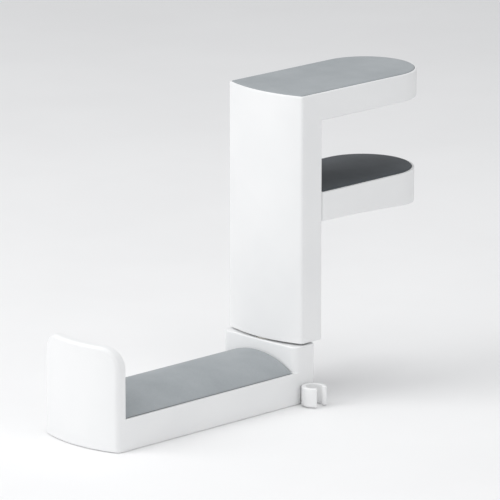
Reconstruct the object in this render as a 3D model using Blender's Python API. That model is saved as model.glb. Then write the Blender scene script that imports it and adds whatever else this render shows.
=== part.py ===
"""Headphone hook that clamps on a desk edge: a column with an upper arm, a sprung jaw below it, and a swivelling hook.

Metres, +Z up. The origin is the middle of the face that sits on the desk top. +Y points along the arm, over the desk,
and the hook reaches out along -Y.
"""

import math

import bmesh
import bpy
from mathutils import Matrix, Vector

MM = 0.001

# Overall sizes
TOTAL_HEIGHT = 125.0 * MM
WIDTH = 41.0 * MM
SIDE_DEPTH = 11.0 * MM  # the column's flat sides, from its back to the corners of its bowed front
FRONT_BULGE = 4.0 * MM
ARM_REACH = 66.0 * MM  # from the column's back to the arm's tip
ARM_THICKNESS = 12.2 * MM
HEAD_HEIGHT = 23.5 * MM
HOOK_REACH = 96.0 * MM  # from the head's flat face to the tab's corners
HOOK_RIM_HEIGHT = 13.0 * MM
PAD_CROWN_HEIGHT = 19.4 * MM
PAD_EDGE_HEIGHT = 13.5 * MM
TAB_HEIGHT = 41.6 * MM
TAB_THICKNESS = 4.0 * MM
TAB_CORNER_R = 8.5 * MM
JAW_REACH = 65.0 * MM
JAW_THICKNESS = 11.8 * MM  # at the column, from its rim to its underside
JAW_DIP = 3.0 * MM  # how much deeper the jaw's underside is at its tip

# Walls and gaps
WALL = 2.0 * MM
CLEARANCE = 0.3 * MM
SEAM = 0.8 * MM  # between the head and the column
RIM = 0.7 * MM  # the white edge round each pad
LEDGE = 0.2 * MM  # between the hook pad's seat and the faces at its two ends
PAD_PROUD = 0.4 * MM
PAD_THICKNESS = 1.3 * MM
DESK_PAD_PROUD = 0.6 * MM
COVER_THICKNESS = 1.8 * MM
ARC_STEPS = 18
CORNER_R = 1.4 * MM
HEAD_CORNER_R = 3.0 * MM  # on the head's two upright corners above the pad

# Jaw travel
REST_GAP = 28.0 * MM
LEAST_GAP = 10.0 * MM
MOST_GAP = 45.0 * MM

# Mechanism
ROD_R = 1.5 * MM
ROD_TO_POST = 5.35 * MM
ROD_SOCKET = 2.5 * MM
ROD_BLOCK_HEIGHT = 6.0 * MM
CARRIAGE_SIDE_GAP = 3.2 * MM
CARRIAGE_HEIGHT = 26.0 * MM
TONGUE_HALF_WIDTH = 8.0 * MM
TONGUE_LENGTH = 28.0 * MM  # beyond the column's back
WIRE_R = 0.35 * MM
SPRING_R = 2.7 * MM
SPRING_TURNS = 12
PLATE_THICKNESS = 4.0 * MM
BOLT_R = 2.0 * MM
BOLT_HEAD_HEIGHT = 2.8 * MM
NUT_FLATS = 7.0 * MM
NUT_HEIGHT = 3.2 * MM
WASHER_THICKNESS = 0.8 * MM
DISC_THICKNESS = 1.1 * MM
DISC_EDGE = 1.3 * MM  # from the friction disc to the head's nearest outer face
HEAD_ROOF = 3.0 * MM
LEAF_THICKNESS = 2.0 * MM
LEAF_FLAP = 28.0 * MM  # from the column's back to the line where the leaf bends
LEAF_RIM = 0.9 * MM
LEAF_PAD_THICKNESS = 1.6 * MM
LEAF_PAD_PROUD = 0.6 * MM
BOSS_R = 2.6 * MM
POST_SIZE = 4.6 * MM
POST_HEIGHT = 9.0 * MM

# Cable clip
CLIP_R = 5.0 * MM
CLIP_BORE_R = 3.3 * MM
CLIP_MOUTH = 3.0 * MM
CLIP_HEIGHT = 7.5 * MM
CLIP_STAND_OFF = 5.3 * MM  # from the head's side to the middle of the ring
CLIP_LIFT = 0.6 * MM
CLIP_NECK = 4.0 * MM
CLIP_BARB = 1.0 * MM

# Screws
SCREW_R = 1.25 * MM
SCREW_HEAD_R = 2.1 * MM
SCREW_HEAD_HEIGHT = 1.1 * MM
RECESS_SPARE = 0.1 * MM
RECESS_EDGE = 0.1 * MM  # least material beside a recess

# Levels and places that follow from the sizes above
HALF = WIDTH / 2
TOP_Z = ARM_THICKNESS
BASE_Z = TOP_Z - TOTAL_HEIGHT
RIM_TOP_Z = TOP_Z - PAD_PROUD
PAD_FLOOR_Z = TOP_Z - PAD_THICKNESS - CLEARANCE
CEILING_Z = PAD_FLOOR_Z - WALL
HEAD_TOP_Z = BASE_Z + HEAD_HEIGHT
COLUMN_BOTTOM_Z = HEAD_TOP_Z + SEAM
BACK_Y = -ARM_REACH / 2
ARM_TIP_Y = ARM_REACH / 2
CORNER_Y = BACK_Y - SIDE_DEPTH
AXIS_Y = BACK_Y - (SIDE_DEPTH + FRONT_BULGE) / 2
HEAD_FACE_Y = CORNER_Y - FRONT_BULGE
HEAD_CORNER_Y = BACK_Y - FRONT_BULGE
TAB_CORNER_Y = HEAD_FACE_Y - HOOK_REACH
ARC_R = (HALF**2 + FRONT_BULGE**2) / (2 * FRONT_BULGE)

COVER_INSET = WALL + CLEARANCE
DESK_PAD_TOP_Z = DESK_PAD_PROUD + CLEARANCE
ARM_COVER_Z = DESK_PAD_TOP_Z + CLEARANCE
PLATE_BOTTOM_Z = COLUMN_BOTTOM_Z
PLATE_TOP_Z = PLATE_BOTTOM_Z + PLATE_THICKNESS
POST_X = HALF - COVER_INSET - SCREW_HEAD_R - CLEARANCE - RECESS_EDGE
ROD_X = POST_X - ROD_TO_POST
ROD_Y = AXIS_Y + 1.2 * MM
ROD_BLOCK_Z = -2.0 * MM
ROD_BOTTOM_Z = PLATE_TOP_Z - ROD_SOCKET + CLEARANCE
ROD_TOP_Z = ROD_BLOCK_Z + ROD_SOCKET

JAW_RIM_Z = -REST_GAP - LEAF_PAD_PROUD
JAW_NEAR_Y = BACK_Y + 0.5 * MM
JAW_TIP_Y = BACK_Y + JAW_REACH
LEAF_PAD_Z = JAW_RIM_Z + LEAF_PAD_PROUD - LEAF_PAD_THICKNESS
LEAF_TOP_Z = LEAF_PAD_Z - CLEARANCE
LEAF_BOTTOM_Z = LEAF_TOP_Z - LEAF_THICKNESS
LEAF_AXIS_Z = LEAF_TOP_Z - LEAF_THICKNESS / 2
LEAF_AXIS_Y = BACK_Y + LEAF_FLAP
LEAF_INSET = LEAF_RIM + CLEARANCE
LEAF_FLOOR_Z = LEAF_BOTTOM_Z - CLEARANCE
DECK_THICKNESS = 2.2 * MM
DECK_BOTTOM_Z = LEAF_FLOOR_Z - DECK_THICKNESS
TONGUE_TOP_Z = DECK_BOTTOM_Z - CLEARANCE
TONGUE_BOTTOM_Z = JAW_RIM_Z - JAW_THICKNESS + COVER_THICKNESS + CLEARANCE
CARRIAGE_HALF_WIDTH = HALF - COVER_INSET - CARRIAGE_SIDE_GAP
CARRIAGE_TOP_Z = JAW_RIM_Z + 1.0 * MM
CARRIAGE_BOTTOM_Z = CARRIAGE_TOP_Z - CARRIAGE_HEIGHT
JAW_DOWN = MOST_GAP - REST_GAP
JAW_UP = REST_GAP - LEAST_GAP
SLOT_SPARE = 0.5 * MM

HEAD_ROOF_Z = HEAD_TOP_Z - HEAD_ROOF
HEAD_HALF_DEPTH = (SIDE_DEPTH + FRONT_BULGE) / 2
DISC_R = HEAD_HALF_DEPTH - DISC_EDGE
WASHER_R = HEAD_HALF_DEPTH - WALL - CLEARANCE
BOLT_HEAD_R = WASHER_R - 0.7 * MM
NUT_R = NUT_FLATS / math.sqrt(3)  # to its corners
DECK_Z = BASE_Z + HOOK_RIM_HEIGHT - 1.0 * MM
HOOK_RIM_Z = BASE_Z + HOOK_RIM_HEIGHT
TAB_TOP_Z = BASE_Z + TAB_HEIGHT
CLIP_X = HALF + CLIP_STAND_OFF
CLIP_Y = (HEAD_FACE_Y + HEAD_CORNER_Y) / 2

# Screw places
COLUMN_SCREWS_Z = (PLATE_TOP_Z + 9.5 * MM, ROD_BLOCK_Z - 3.8 * MM)
ARM_SCREWS_Y = (-20.0 * MM, 15.0 * MM)
TONGUE_SCREW_LENGTH = LEAF_FLOOR_Z - SCREW_HEAD_HEIGHT - RECESS_SPARE - TONGUE_BOTTOM_Z - 0.9 * MM
TONGUE_SCREWS_Y = (BACK_Y + 9.0 * MM, BACK_Y + 20.0 * MM)
JAW_SCREWS_Y = (BACK_Y + 37.0 * MM, BACK_Y + 55.0 * MM)
HOOK_SCREWS_Y = tuple(HEAD_FACE_Y - HOOK_REACH * share for share in (0.13, 0.5, 0.87))

FAR = 0.2  # longer than anything here, for cuts that go right through

WHITE = ("white_plastic", (0.86, 0.87, 0.87), 0.35, 0.0)
GREY_PAD = ("grey_pad", (0.40, 0.42, 0.43), 0.7, 0.0)
DARK_PAD = ("dark_pad", (0.09, 0.10, 0.11), 0.75, 0.0)
STEEL = ("steel", (0.62, 0.62, 0.63), 0.3, 1.0)
CAST = ("cast_alloy", (0.5, 0.5, 0.52), 0.45, 1.0)
BLACK_PLASTIC = ("black_plastic", (0.04, 0.04, 0.045), 0.5, 0.0)
NYLON = ("nylon", (0.75, 0.74, 0.7), 0.5, 0.0)


def clear_scene():
    for thing in list(bpy.data.objects):
        bpy.data.objects.remove(thing)


# Outlines: lists of (u, v) points, anticlockwise


def end_curve(kind, place, sign, inset):
    """One end of a plan outline, at -Y for sign -1 and at +Y for sign +1.

    "flat" ends at place; "bowed" has its corners at place and swells by FRONT_BULGE beyond it; "round" is a half
    circle whose tip is at place.
    """
    half = HALF - inset
    if kind == "flat":
        points = [(-half, 0.0), (half, 0.0)]
    elif kind == "bowed":
        radius = ARC_R - inset
        xs = [half * (2 * i / ARC_STEPS - 1) for i in range(ARC_STEPS + 1)]
        points = [(x, math.sqrt(radius**2 - x**2) - (ARC_R - FRONT_BULGE)) for x in xs]
    else:
        angles = [math.pi * (1 - i / ARC_STEPS) for i in range(ARC_STEPS + 1)]
        points = [(half * math.cos(a), half * math.sin(a) - HALF) for a in angles]
    if sign < 0:
        return [(x, place - v) for x, v in points]
    return [(-x, place + v) for x, v in points]


def plan(low, high, inset=0.0):
    """Outline seen from above, from its -Y end to its +Y end. Each end is (kind, place)."""
    return end_curve(*low, -1, inset) + end_curve(*high, 1, inset)


def circle(x, y, radius, steps=20, start=0.0):
    turn = 2 * math.pi / steps
    angles = [(i + start) * turn for i in range(steps)]
    return [(x + radius * math.cos(a), y + radius * math.sin(a)) for a in angles]


def rectangle(x0, x1, y0, y1):
    return [(x0, y0), (x1, y0), (x1, y1), (x0, y1)]


# Solids


def from_bmesh(name, mesh_builder):
    bmesh.ops.recalc_face_normals(mesh_builder, faces=mesh_builder.faces)
    mesh = bpy.data.meshes.new(name)
    mesh_builder.to_mesh(mesh)
    mesh_builder.free()
    thing = bpy.data.objects.new(name, mesh)
    bpy.context.scene.collection.objects.link(thing)
    return thing


def extruded(name, outline, low, high, axis="Z", rounding=()):
    """The outline pushed from low to high along an axis; (u, v) is (x, y), (x, z) or (y, z) for Z, Y or X.

    Each rounding is (test, radius, segments): the edges that pass the test are bevelled.
    """
    place = {
        "Z": lambda u, v, w: (u, v, w),
        "Y": lambda u, v, w: (u, w, v),
        "X": lambda u, v, w: (w, u, v),
    }[axis]
    builder = bmesh.new()
    bottom = [builder.verts.new(place(u, v, low)) for u, v in outline]
    top = [builder.verts.new(place(u, v, high)) for u, v in outline]
    builder.faces.new(bottom)
    builder.faces.new(top)
    for i, start in enumerate(bottom):
        j = (i + 1) % len(bottom)
        builder.faces.new((start, bottom[j], top[j], top[i]))
    bmesh.ops.recalc_face_normals(builder, faces=builder.faces)
    for test, radius, segments in rounding:
        edges = [edge for edge in builder.edges if test(edge)]
        bmesh.ops.bevel(
            builder, geom=edges, offset=radius, segments=segments, profile=0.5, affect="EDGES", clamp_overlap=True
        )
    return from_bmesh(name, builder)


def upright_corner(edge, sharpest=math.radians(40)):
    """An upright edge whose faces meet at a real corner, not between two steps of an arc."""
    along = (edge.verts[1].co - edge.verts[0].co).normalized()
    return abs(along.z) > 0.99 and edge.calc_face_angle(0.0) > sharpest


def box(name, x0, x1, y0, y1, z0, z1):
    return extruded(name, rectangle(x0, x1, y0, y1), z0, z1)


def cylinder(name, x, y, radius, z0, z1, steps=20):
    return extruded(name, circle(x, y, radius, steps), z0, z1)


def level_cylinder(name, x, z, radius, y0, y1, steps=20):
    """A cylinder along Y."""
    return extruded(name, circle(x, z, radius, steps), y0, y1, axis="Y")


def turned(name, profile, steps=20):
    """A closed (radius, height) profile turned about Z. Points at radius 0 share one vertex."""
    builder = bmesh.new()
    rings = []
    for radius, height in profile:
        if radius == 0:
            rings.append([builder.verts.new((0, 0, height))] * steps)
        else:
            rings.append([builder.verts.new((u, v, height)) for u, v in circle(0, 0, radius, steps)])
    for k, ring in enumerate(rings):
        following = rings[(k + 1) % len(rings)]
        for i in range(steps):
            j = (i + 1) % steps
            corners = list(dict.fromkeys((ring[i], ring[j], following[j], following[i])))
            if len(corners) > 2:
                builder.faces.new(corners)
    return from_bmesh(name, builder)


def combine(target, operation, tools):
    """Unites or cuts target with tools, which are used up."""
    for tool in tools:
        modifier = target.modifiers.new(operation.lower(), "BOOLEAN")
        modifier.operation = operation
        modifier.object = tool
        bpy.context.view_layer.update()
        depsgraph = bpy.context.evaluated_depsgraph_get()
        result = bpy.data.meshes.new_from_object(target.evaluated_get(depsgraph))
        before = target.data
        target.modifiers.clear()
        target.data = result
        bpy.data.meshes.remove(before)
        bpy.data.objects.remove(tool)
    return target


def cut(target, *tools):
    return combine(target, "DIFFERENCE", tools)


def unite(target, *tools):
    return combine(target, "UNION", tools)


# Finish, names and moving groups


def material(description):
    name, colour, roughness, metallic = description
    found = bpy.data.materials.get(name)
    if found:
        return found
    made = bpy.data.materials.new(name)
    made.use_nodes = True
    shader = made.node_tree.nodes["Principled BSDF"]
    shader.inputs["Base Color"].default_value = (*colour, 1.0)
    shader.inputs["Roughness"].default_value = roughness
    shader.inputs["Metallic"].default_value = metallic
    return made


def finish(thing, description, group):
    """Gives a piece its material, smooth shading on its round faces, and its moving group."""
    thing.data.materials.clear()
    thing.data.materials.append(material(description))
    thing.data.shade_smooth()
    thing.data.set_sharp_from_angle(angle=math.radians(35))
    thing.parent = group
    thing.matrix_parent_inverse = group.matrix_world.inverted()
    return thing


def group_at(name, place):
    """An empty on a moving group's joint axis."""
    empty = bpy.data.objects.new(name, None)
    bpy.context.scene.collection.objects.link(empty)
    empty.location = place
    bpy.context.view_layer.update()
    return empty


def screw_mesh(length):
    """A pan-head screw with a cross recess, standing on its tip along +Z, its head's underside at z = 0."""
    name = f"screw_{length / MM:.1f}"
    found = bpy.data.meshes.get(name)
    if found:
        return found
    head = SCREW_HEAD_HEIGHT
    profile = [
        (0, -length),
        (SCREW_R * 0.6, -length),
        (SCREW_R, -length + SCREW_R),
        (SCREW_R, 0),
        (SCREW_HEAD_R, 0),
        (SCREW_HEAD_R, head * 0.6),
        (SCREW_HEAD_R * 0.8, head),
        (0, head),
    ]
    screw = turned(name, profile, 14)
    arm = SCREW_HEAD_R * 0.6
    blade = 0.25 * MM
    floor = head * 0.4
    cut(
        screw,
        box("cross_x", -arm, arm, -blade, blade, floor, head * 2),
        box("cross_y", -blade, blade, -arm, arm, floor, head * 2),
    )
    mesh = screw.data
    mesh.name = name
    bpy.data.objects.remove(screw)
    return mesh


def add_screw(name, place, out, length, group):
    """A screw whose head's underside is at place and whose head faces along out."""
    screw = bpy.data.objects.new(name, screw_mesh(length))
    bpy.context.scene.collection.objects.link(screw)
    turn = Vector((0, 0, 1)).rotation_difference(Vector(out)).to_matrix().to_4x4()
    screw.matrix_world = Matrix.Translation(place) @ turn
    return finish(screw, STEEL, group)


def screw_hole(x, y, z_out, z_in, out_z):
    """Cutters for an upright screw through a cover: a clear hole, and a recess for the head at the side out_z."""
    recess = SCREW_HEAD_HEIGHT + RECESS_SPARE + CLEARANCE
    hole = cylinder("hole", x, y, SCREW_R + CLEARANCE, min(z_out, z_in) - MM, max(z_out, z_in) + MM)
    low, high = sorted((z_out + out_z * MM, z_out - out_z * recess))
    return hole, cylinder("recess", x, y, SCREW_HEAD_R + CLEARANCE, low, high)


def head_seat(z_out, out_z):
    """Where the underside of a screw's head lies in the recess of screw_hole."""
    return z_out - out_z * (SCREW_HEAD_HEIGHT + RECESS_SPARE)


# The column and the upper arm


def column_shell(group):
    ends = (("bowed", CORNER_Y), ("round", ARM_TIP_Y))
    shell = extruded(
        "column_shell",
        plan(*ends),
        COLUMN_BOTTOM_Z,
        RIM_TOP_Z,
        rounding=((upright_corner, CORNER_R, 3),),
    )
    under_arm = box("under_arm", -FAR, FAR, BACK_Y, FAR, -FAR, DESK_PAD_PROUD)
    hollow = extruded("hollow", plan(*ends, inset=WALL), COLUMN_BOTTOM_Z - MM, CEILING_Z)
    pad_seat = extruded("pad_seat", plan(*ends, inset=RIM), PAD_FLOOR_Z, FAR)
    cut(shell, hollow, under_arm, pad_seat)

    cover_face_y = BACK_Y - WALL - CLEARANCE
    front_y = HEAD_FACE_Y + WALL / 2
    for z in COLUMN_SCREWS_Z:
        unite(shell, level_cylinder("boss", 0, z, BOSS_R, front_y, cover_face_y))
        cut(shell, level_cylinder("pilot", 0, z, SCREW_R + CLEARANCE, front_y + WALL, 0))
    cover_top_z = ARM_COVER_Z + WALL
    for y in ARM_SCREWS_Y:
        unite(shell, cylinder("boss", 0, y, BOSS_R, cover_top_z + CLEARANCE, CEILING_Z + MM / 2))
        cut(shell, cylinder("pilot", 0, y, SCREW_R + CLEARANCE, 0, CEILING_Z - MM / 2))
    for side in (-1, 1):
        inner = POST_X - POST_SIZE / 2 + 0.3 * MM
        outer = HALF - WALL / 2
        x0, x1 = sorted((side * inner, side * outer))
        half = POST_SIZE / 2
        post_z = PLATE_TOP_Z + CLEARANCE
        unite(shell, box("post", x0, x1, AXIS_Y - half, AXIS_Y + half, post_z, post_z + POST_HEIGHT))
        cut(shell, cylinder("pilot", side * POST_X, AXIS_Y, SCREW_R + CLEARANCE, post_z - MM, post_z + 7 * MM, 12))
    return finish(shell, WHITE, group)


def rear_cover(group):
    half = HALF - COVER_INSET
    bottom = COLUMN_BOTTOM_Z + CLEARANCE
    top = DESK_PAD_TOP_Z
    cover = extruded("rear_cover", rectangle(-half, half, bottom, top), BACK_Y - WALL, BACK_Y, axis="Y")
    low = TONGUE_BOTTOM_Z - JAW_DOWN - SLOT_SPARE
    high = TONGUE_TOP_Z + JAW_UP + SLOT_SPARE
    width = TONGUE_HALF_WIDTH + CLEARANCE
    cut(cover, extruded("slot", rectangle(-width, width, low, high), BACK_Y - FAR, FAR, axis="Y"))
    recess = SCREW_HEAD_HEIGHT + RECESS_SPARE + CLEARANCE
    for z in COLUMN_SCREWS_Z:
        cut(
            cover,
            level_cylinder("hole", 0, z, SCREW_R + CLEARANCE, BACK_Y - FAR, FAR),
            level_cylinder("recess", 0, z, SCREW_HEAD_R + CLEARANCE, BACK_Y - recess, FAR),
        )
    for i, z in enumerate(COLUMN_SCREWS_Z):
        seat = BACK_Y - SCREW_HEAD_HEIGHT - RECESS_SPARE
        add_screw(f"rear_cover_screw_{'ab'[i]}", (0, seat, z), (0, 1, 0), 9 * MM, group)
    return finish(cover, WHITE, group)


def arm_cover(group):
    ends = (("flat", BACK_Y - WALL + CLEARANCE), ("round", ARM_TIP_Y))
    cover = extruded("arm_cover", plan(*ends, inset=COVER_INSET), ARM_COVER_Z, ARM_COVER_Z + WALL)
    for y in ARM_SCREWS_Y:
        cut(cover, *screw_hole(0, y, ARM_COVER_Z, ARM_COVER_Z + WALL, -1))
    for i, y in enumerate(ARM_SCREWS_Y):
        add_screw(f"arm_cover_screw_{'ab'[i]}", (0, y, head_seat(ARM_COVER_Z, -1)), (0, 0, -1), 5 * MM, group)
    return finish(cover, WHITE, group)


def top_pad(group):
    ends = (("bowed", CORNER_Y), ("round", ARM_TIP_Y))
    pad = extruded("top_pad", plan(*ends, inset=RIM + CLEARANCE), PAD_FLOOR_Z + CLEARANCE, TOP_Z)
    return finish(pad, GREY_PAD, group)


def desk_pad(group):
    ends = (("flat", BACK_Y + 1.2 * MM), ("round", ARM_TIP_Y))
    pad = extruded("desk_pad", plan(*ends, inset=COVER_INSET), 0, DESK_PAD_TOP_Z)
    return finish(pad, DARK_PAD, group)


# Inside the column


def column_insert(name, z0, z1):
    """A block of the column's own section that fits between its walls and its rear cover."""
    ends = (("bowed", CORNER_Y), ("flat", BACK_Y - COVER_INSET))
    return extruded(name, plan(*ends, inset=COVER_INSET), z0, z1)


def guide_rods(group):
    for name, side in (("left", -1), ("right", 1)):
        chamfer = 0.4 * MM
        profile = [
            (0, ROD_BOTTOM_Z),
            (ROD_R - chamfer, ROD_BOTTOM_Z),
            (ROD_R, ROD_BOTTOM_Z + chamfer),
            (ROD_R, ROD_TOP_Z - chamfer),
            (ROD_R - chamfer, ROD_TOP_Z),
            (0, ROD_TOP_Z),
        ]
        rod = turned(f"guide_rod_{name}", profile, 16)
        rod.data.transform(Matrix.Translation((side * ROD_X, ROD_Y, 0)))
        finish(rod, STEEL, group)


def rod_block(group):
    block = column_insert("rod_block", ROD_BLOCK_Z, ROD_BLOCK_Z + ROD_BLOCK_HEIGHT)
    for side in (-1, 1):
        top = ROD_BLOCK_Z + ROD_SOCKET + CLEARANCE
        cut(block, cylinder("socket", side * ROD_X, ROD_Y, ROD_R + CLEARANCE, ROD_BLOCK_Z - MM, top, 16))
    return finish(block, BLACK_PLASTIC, group)


def swivel_plate(group):
    plate = column_insert("swivel_plate", PLATE_BOTTOM_Z, PLATE_TOP_Z)
    cut(plate, cylinder("bolt_hole", 0, AXIS_Y, BOLT_R + CLEARANCE, -FAR, FAR))
    for side in (-1, 1):
        floor = PLATE_TOP_Z - ROD_SOCKET
        cut(
            plate,
            cylinder("socket", side * ROD_X, ROD_Y, ROD_R + CLEARANCE, floor, FAR, 16),
            *screw_hole(side * POST_X, AXIS_Y, PLATE_BOTTOM_Z, PLATE_TOP_Z, -1),
        )
    for name, side in (("left", -1), ("right", 1)):
        place = (side * POST_X, AXIS_Y, head_seat(PLATE_BOTTOM_Z, -1))
        add_screw(f"swivel_plate_screw_{name}", place, (0, 0, -1), 8 * MM, group)
    return finish(plate, CAST, group)


def helix(name, x, y, z0, z1, radius, turns, steps=12):
    """A round-wire compression spring between two heights, with a closed turn at each end."""
    low = z0 + WIRE_R
    high = z1 - WIRE_R
    closed = 2 * WIRE_R + CLEARANCE
    rise = high - low - 2 * closed
    curve = bpy.data.curves.new(name, "CURVE")
    curve.dimensions = "3D"
    curve.bevel_depth = WIRE_R
    curve.bevel_resolution = 1
    curve.use_fill_caps = True
    line = curve.splines.new("POLY")
    count = turns * steps
    line.points.add(count)
    for i in range(count + 1):
        turn = i / steps
        if turn < 1:
            height = low + closed * turn
        elif turn > turns - 1:
            height = high - closed * (turns - turn)
        else:
            height = low + closed + rise * (turn - 1) / (turns - 2)
        angle = 2 * math.pi * turn
        line.points[i].co = (x + radius * math.cos(angle), y + radius * math.sin(angle), height, 1)
    source = bpy.data.objects.new(f"{name}_path", curve)
    bpy.context.scene.collection.objects.link(source)
    bpy.context.view_layer.update()
    depsgraph = bpy.context.evaluated_depsgraph_get()
    builder = bmesh.new()
    builder.from_mesh(bpy.data.meshes.new_from_object(source.evaluated_get(depsgraph)))
    bmesh.ops.remove_doubles(builder, verts=builder.verts, dist=1e-6)
    bpy.data.objects.remove(source)
    return from_bmesh(name, builder)


def jaw_springs(group):
    for name, side in (("left", -1), ("right", 1)):
        spring = helix(
            f"jaw_spring_{name}",
            side * ROD_X,
            ROD_Y,
            PLATE_TOP_Z + CLEARANCE,
            CARRIAGE_BOTTOM_Z - CLEARANCE,
            SPRING_R,
            SPRING_TURNS,
        )
        finish(spring, STEEL, group)


# The jaw


def jaw_underside(y):
    """Height of the jaw's underside: level at the column and curving down to its tip."""
    along = (y - JAW_NEAR_Y) / (JAW_TIP_Y - JAW_NEAR_Y)
    return JAW_RIM_Z - JAW_THICKNESS - JAW_DIP * along**2


def jaw_profile(lift, top):
    """Side view, in (y, z), of everything from the underside raised by lift up to top."""
    span = JAW_TIP_Y - JAW_NEAR_Y
    places = [JAW_NEAR_Y + span * (i / 10 * 1.1 - 0.05) for i in range(11)]
    return [(y, jaw_underside(y) + lift) for y in places] + [(places[-1], top), (places[0], top)]


def slide_carriage(group):
    bow = math.sqrt((ARC_R - COVER_INSET) ** 2 - CARRIAGE_HALF_WIDTH**2) - (ARC_R - FRONT_BULGE)
    front = CORNER_Y - bow
    back = BACK_Y - WALL - 2 * CLEARANCE
    carriage = box(
        "slide_carriage",
        -CARRIAGE_HALF_WIDTH,
        CARRIAGE_HALF_WIDTH,
        front,
        back,
        CARRIAGE_BOTTOM_Z,
        CARRIAGE_TOP_Z,
    )
    tongue = box(
        "tongue",
        -TONGUE_HALF_WIDTH,
        TONGUE_HALF_WIDTH,
        back - MM,
        BACK_Y + TONGUE_LENGTH,
        TONGUE_BOTTOM_Z,
        TONGUE_TOP_Z,
    )
    unite(carriage, tongue)
    for side in (-1, 1):
        cut(carriage, cylinder("rod_hole", side * ROD_X, ROD_Y, ROD_R + CLEARANCE, -FAR, FAR, 16))
    for y in TONGUE_SCREWS_Y:
        cut(carriage, cylinder("pilot", 0, y, SCREW_R + CLEARANCE, -FAR, FAR, 14))
    return finish(carriage, CAST, group)


def jaw_shell(group):
    ends = (("flat", JAW_NEAR_Y), ("round", JAW_TIP_Y))
    lowest = jaw_underside(JAW_TIP_Y) - MM
    shell = extruded("jaw_shell", plan(*ends), lowest, JAW_RIM_Z)
    combine(shell, "INTERSECT", [extruded("profile", jaw_profile(0, 0), -FAR, FAR, axis="X")])
    inside = (("flat", JAW_NEAR_Y + WALL), ("round", JAW_TIP_Y))
    hollow = extruded("hollow", plan(*inside, inset=WALL), -FAR, DECK_BOTTOM_Z)
    seat = (("flat", JAW_NEAR_Y + LEAF_RIM), ("round", JAW_TIP_Y))
    leaf_seat = extruded("leaf_seat", plan(*seat, inset=LEAF_RIM), LEAF_FLOOR_Z, FAR)
    window_half = TONGUE_HALF_WIDTH + CLEARANCE
    window = box(
        "window", -window_half, window_half, BACK_Y, JAW_NEAR_Y + 2 * WALL, TONGUE_BOTTOM_Z - CLEARANCE, DECK_BOTTOM_Z
    )
    cut(shell, hollow, leaf_seat, window)
    for y in JAW_SCREWS_Y:
        end = jaw_underside(y - BOSS_R) + COVER_THICKNESS + CLEARANCE
        unite(shell, cylinder("boss", 0, y, BOSS_R, end, DECK_BOTTOM_Z + MM))
        cut(shell, cylinder("pilot", 0, y, SCREW_R + CLEARANCE, end - MM, DECK_BOTTOM_Z + MM / 2, 14))
    for y in TONGUE_SCREWS_Y:
        cut(shell, *screw_hole(0, y, LEAF_FLOOR_Z, DECK_BOTTOM_Z, 1))
    for i, y in enumerate(TONGUE_SCREWS_Y):
        seat = (0, y, head_seat(LEAF_FLOOR_Z, 1))
        add_screw(f"tongue_screw_{'ab'[i]}", seat, (0, 0, 1), TONGUE_SCREW_LENGTH, group)
    return finish(shell, WHITE, group)


def jaw_cover(group):
    ends = (("flat", JAW_NEAR_Y + COVER_INSET), ("round", JAW_TIP_Y))
    lowest = jaw_underside(JAW_TIP_Y) - MM
    cover = extruded("jaw_cover", plan(*ends, inset=COVER_INSET), lowest, DECK_BOTTOM_Z)
    cut(cover, extruded("above", jaw_profile(COVER_THICKNESS, 0), -FAR, FAR, axis="X"))
    combine(cover, "INTERSECT", [extruded("profile", jaw_profile(0, 0), -FAR, FAR, axis="X")])
    for i, y in enumerate(JAW_SCREWS_Y):
        face = jaw_underside(y)
        cut(cover, *screw_hole(0, y, face, face + COVER_THICKNESS, -1))
        add_screw(f"jaw_cover_screw_{'ab'[i]}", (0, y, head_seat(face, -1)), (0, 0, -1), 4 * MM, group)
    return finish(cover, WHITE, group)


def leaf_root(group):
    """The fixed half of the leaf, beyond the line where it bends."""
    ends = (("flat", LEAF_AXIS_Y + LEAF_THICKNESS / 2 + CLEARANCE), ("round", JAW_TIP_Y))
    root = extruded("leaf_root", plan(*ends, inset=LEAF_INSET), LEAF_BOTTOM_Z, LEAF_TOP_Z)
    return finish(root, WHITE, group)


def pressure_leaf(group):
    """The half of the leaf that springs up towards the arm, with a round edge on the line where it bends."""
    near = JAW_NEAR_Y + LEAF_INSET
    half = HALF - LEAF_INSET
    radius = LEAF_THICKNESS / 2
    steps = 8
    bead = [
        (LEAF_AXIS_Y + radius * math.sin(math.pi * i / steps), LEAF_AXIS_Z - radius * math.cos(math.pi * i / steps))
        for i in range(steps + 1)
    ]
    outline = [(near, LEAF_BOTTOM_Z)] + bead + [(near, LEAF_TOP_Z)]
    return finish(extruded("pressure_leaf", outline, -half, half, axis="X"), WHITE, group)


def jaw_pads(jaw, leaf):
    split = LEAF_AXIS_Y + 0.9 * MM
    top = JAW_RIM_Z + LEAF_PAD_PROUD
    rear = plan(("flat", split), ("round", JAW_TIP_Y), inset=LEAF_INSET)
    finish(extruded("jaw_pad_rear", rear, LEAF_PAD_Z, top), DARK_PAD, jaw)
    half = HALF - LEAF_INSET
    front = rectangle(-half, half, JAW_NEAR_Y + LEAF_INSET, LEAF_AXIS_Y - CLEARANCE)
    finish(extruded("jaw_pad_front", front, LEAF_PAD_Z, top), DARK_PAD, leaf)


# The swivel


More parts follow.
